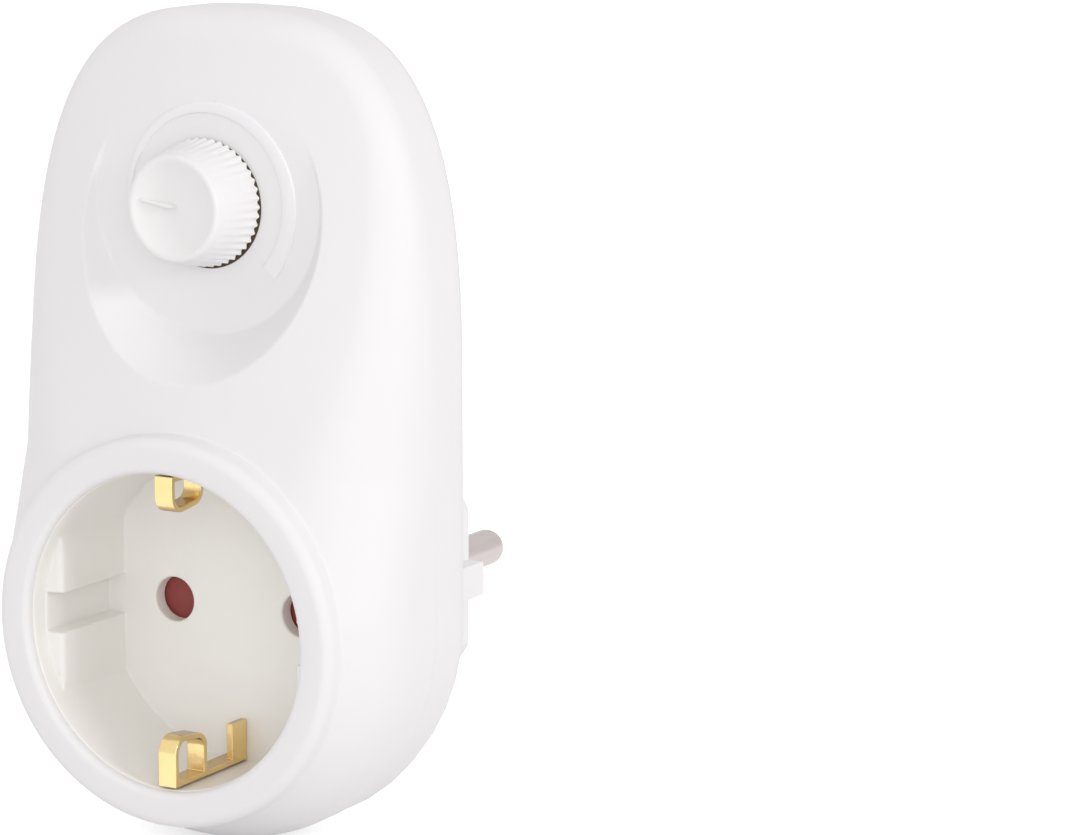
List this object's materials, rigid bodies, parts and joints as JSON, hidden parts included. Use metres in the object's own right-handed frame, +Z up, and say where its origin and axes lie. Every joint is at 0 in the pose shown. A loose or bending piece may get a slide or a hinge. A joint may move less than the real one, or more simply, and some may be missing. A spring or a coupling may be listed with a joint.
{
  "type": "plug-in rotary dimmer",
  "caption": "White plug-in dimmer: a wall plug with round pins at the back, an earthed pass-through socket in front and a rotary level dial above it.",
  "frame": {"origin": "on the plug's face, midway between its two pins", "axes": "+Y towards the wall along the pins, -Y to the room, +X to the right seen from the room, +Z up"},
  "size_m": [0.0576, 0.0664, 0.1043],
  "materials": {
    "housing_white": "fine satin moulding",
    "insert_white": "satin moulding, warm white",
    "knob_white": "satin moulding",
    "nylon_cream": "plain",
    "black_plastic": "plain",
    "shutter_maroon": "fine moulding",
    "sheet_brass": "stamped and polished",
    "plated_steel": "zinc plated",
    "pin_nickel": "nickel plated, turned",
    "board_laminate": "paper laminate",
    "ferrite_grey": "sintered",
    "capacitor_yellow": "moulded case",
    "capacitor_red": "dipped",
    "bead_blue": "lacquered",
    "bead_tan": "lacquered",
    "fuse_glass": "clear",
    "wire_brown": "insulated",
    "wire_black": "insulated"
  },
  "bodies": {
    "housing": {"front_shell": "housing_white", "rear_shell": "housing_white", "plug_body": "housing_white", "socket_insert": "insert_white", "pot_case": "black_plastic", "pot_cover": "plated_steel", "pot_track": "black_plastic", "shutter_spring": "plated_steel", "contact_carrier": "black_plastic", "contact_left": "sheet_brass", "contact_right": "sheet_brass", "plug_pin_left": "pin_nickel", "plug_pin_right": "pin_nickel", "neutral_link": "sheet_brass", "earth_clip_upper": "sheet_brass", "earth_clip_lower": "sheet_brass", "earth_link": "sheet_brass", "circuit_board": "board_laminate", "triac": "black_plastic", "heat_sink": "plated_steel", "choke_core": "ferrite_grey", "choke_sleeve": "black_plastic", "film_capacitor": "capacitor_yellow", "timing_capacitor": "capacitor_red", "diac": "bead_blue", "resistors": "bead_tan", "fuse_tube": "fuse_glass", "fuse_caps": "plated_steel", "fuse_clips": "sheet_brass", "live_wire": "wire_brown", "load_wire": "wire_black", "shell_screws": "plated_steel", "board_screws": "plated_steel", "carrier_screws": "plated_steel"},
    "dial": {"knob": "knob_white", "pot_shaft": "nylon_cream", "pot_wiper": "sheet_brass"},
    "shutter": {"shutter": "shutter_maroon"}
  },
  "joints": [
    {"name": "dial_turn", "type": "hinge", "parent": "housing", "child": "dial", "pos_m": [0, -0.0357, 0.052], "axis": [0, 1, 0], "range_deg": [-45, 225]},
    {"name": "shutter_turn", "type": "hinge", "parent": "housing", "child": "shutter", "pos_m": [0, -0.027, 0], "axis": [0, 1, 0], "range_deg": [0, 35], "stiffness_Nm_per_rad": 0.002, "springref_deg": -11.46}
  ]
}
